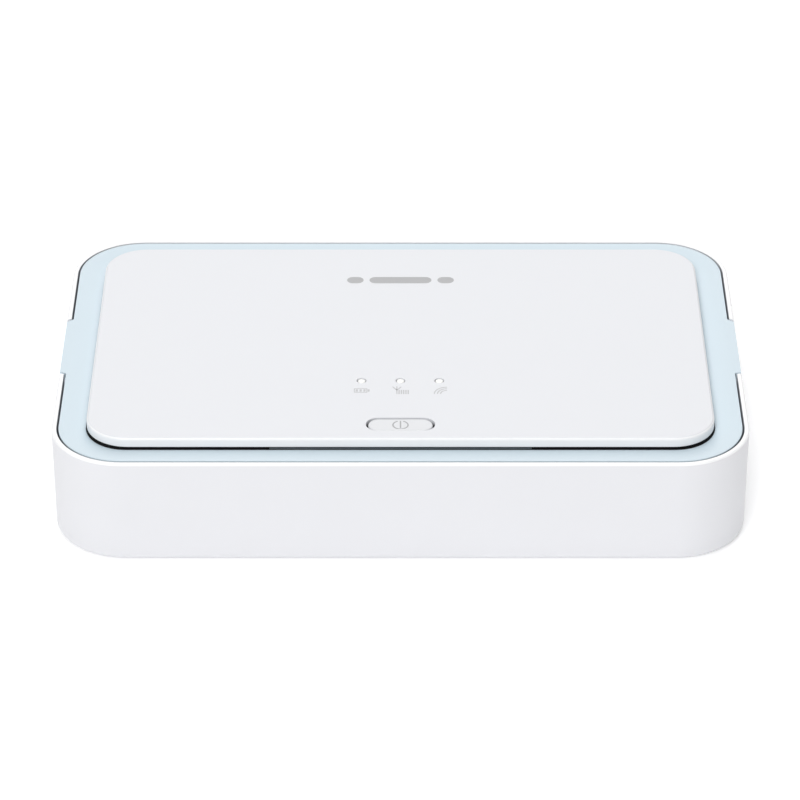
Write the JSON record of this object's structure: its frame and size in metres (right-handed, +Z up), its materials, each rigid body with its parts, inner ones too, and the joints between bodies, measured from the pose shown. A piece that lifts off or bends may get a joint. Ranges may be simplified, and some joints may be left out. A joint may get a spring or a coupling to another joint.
{
  "type": "mobile hotspot",
  "caption": "Pocket mobile hotspot: white back cover, pale blue frame ring, floating white top plate with a power button and indicator lights, removable battery.",
  "frame": {"origin": "middle of the underside of the back cover, on the surface it lies on", "axes": "+X to the right along the long side, +Y to the back, where the charging socket is, +Z up through the top plate; the power button is on the -Y side"},
  "size_m": [0.1, 0.0656, 0.0176],
  "materials": {
    "cover_white": "satin gloss moulded white",
    "plate_white": "smooth satin white",
    "frame_pale_blue": "matt pale blue-white",
    "housing_white": "matt moulded white",
    "gasket_black": "matt black foam",
    "light_pipe": "milky translucent",
    "led_body": "clear resin on white",
    "black_plastic": "matt black moulded",
    "card_plastic": "matt black card",
    "chip_resin": "matt black resin",
    "circuit_board": "green solder resist",
    "sheet_steel": "tinned sheet",
    "screw_steel": "plated steel",
    "spreader_aluminium": "rolled sheet",
    "battery_can": "aluminium can in a printed wrap",
    "contact_gold": "gold plated",
    "thermal_silicone": "soft grey-blue pad",
    "label_paper": "printed label"
  },
  "bodies": {
    "core": {"mid_frame": "frame_pale_blue", "top_plate": "plate_white", "plate_gasket": "gasket_black", "inner_housing": "housing_white", "main_board": "circuit_board", "modem_shield": "sheet_steel", "modem_chip": "chip_resin", "wifi_shield": "sheet_steel", "wifi_chip": "chip_resin", "power_shield": "sheet_steel", "power_chip": "chip_resin", "power_inductor": "chip_resin", "thermal_pad": "thermal_silicone", "heat_spreader": "spreader_aluminium", "battery_light_pipe": "light_pipe", "signal_light_pipe": "light_pipe", "wifi_light_pipe": "light_pipe", "battery_led": "led_body", "signal_led": "led_body", "wifi_led": "led_body", "led_light_shield": "black_plastic", "power_switch": "sheet_steel", "usb_shell": "sheet_steel", "usb_tongue": "black_plastic", "main_antenna": "contact_gold", "main_antenna_carrier": "black_plastic", "second_antenna": "contact_gold", "second_antenna_carrier": "black_plastic", "wifi_antenna": "sheet_steel", "sim_socket_base": "black_plastic", "sim_socket_shell": "sheet_steel", "memory_socket_base": "black_plastic", "memory_socket_shell": "sheet_steel", "battery_connector": "black_plastic", "reset_switch": "sheet_steel", "bay_label": "label_paper", "screw_1": "screw_steel", "screw_2": "screw_steel", "screw_3": "screw_steel", "screw_4": "screw_steel", "screw_5": "screw_steel", "screw_6": "screw_steel"},
    "cover": {"back_cover": "cover_white", "battery_cushion": "gasket_black"},
    "battery_pack": {"battery": "battery_can", "battery_end_cap": "black_plastic"},
    "power_button": {"power_button": "plate_white"},
    "power_plunger": {"power_switch_plunger": "black_plastic"},
    "reset_plunger": {"reset_switch_plunger": "black_plastic"},
    "battery_contacts": {"battery_contact_1": "contact_gold", "battery_contact_2": "contact_gold", "battery_contact_3": "contact_gold"},
    "sim_card": {"sim_card": "card_plastic"},
    "memory_card": {"memory_card": "card_plastic"}
  },
  "joints": [
    {"name": "core_lift", "type": "slide", "parent": "cover", "child": "core", "axis": [0, 0, 1], "range_m": [0, 0.04]},
    {"name": "battery_lift", "type": "slide", "parent": "core", "child": "battery_pack", "axis": [0, 0, -1], "range_m": [0, 0.018]},
    {"name": "power_button_press", "type": "slide", "parent": "core", "child": "power_button", "axis": [0, 0, -1], "range_m": [0, 0.0004], "stiffness_N_per_m": 300, "springref_m": -0.001},
    {"name": "power_plunger_press", "type": "slide", "parent": "core", "child": "power_plunger", "axis": [0, 0, -1], "range_m": [0, 0.0004]},
    {"name": "reset_press", "type": "slide", "parent": "core", "child": "reset_plunger", "axis": [0, 0, 1], "range_m": [0, 0.00025], "stiffness_N_per_m": 300, "springref_m": -0.0005},
    {"name": "battery_contacts_press", "type": "slide", "parent": "core", "child": "battery_contacts", "axis": [1, 0, 0], "range_m": [0, 0.0004], "stiffness_N_per_m": 300, "springref_m": -0.0005},
    {"name": "sim_card_slide", "type": "slide", "parent": "core", "child": "sim_card", "axis": [0, 1, 0], "range_m": [0, 0.018]},
    {"name": "memory_card_slide", "type": "slide", "parent": "core", "child": "memory_card", "axis": [0, 1, 0], "range_m": [0, 0.014]}
  ],
  "couplings": [
    {"joint": "battery_lift", "follows": "core_lift", "ratio": 0.45},
    {"joint": "power_plunger_press", "follows": "power_button_press", "ratio": 1}
  ]
}
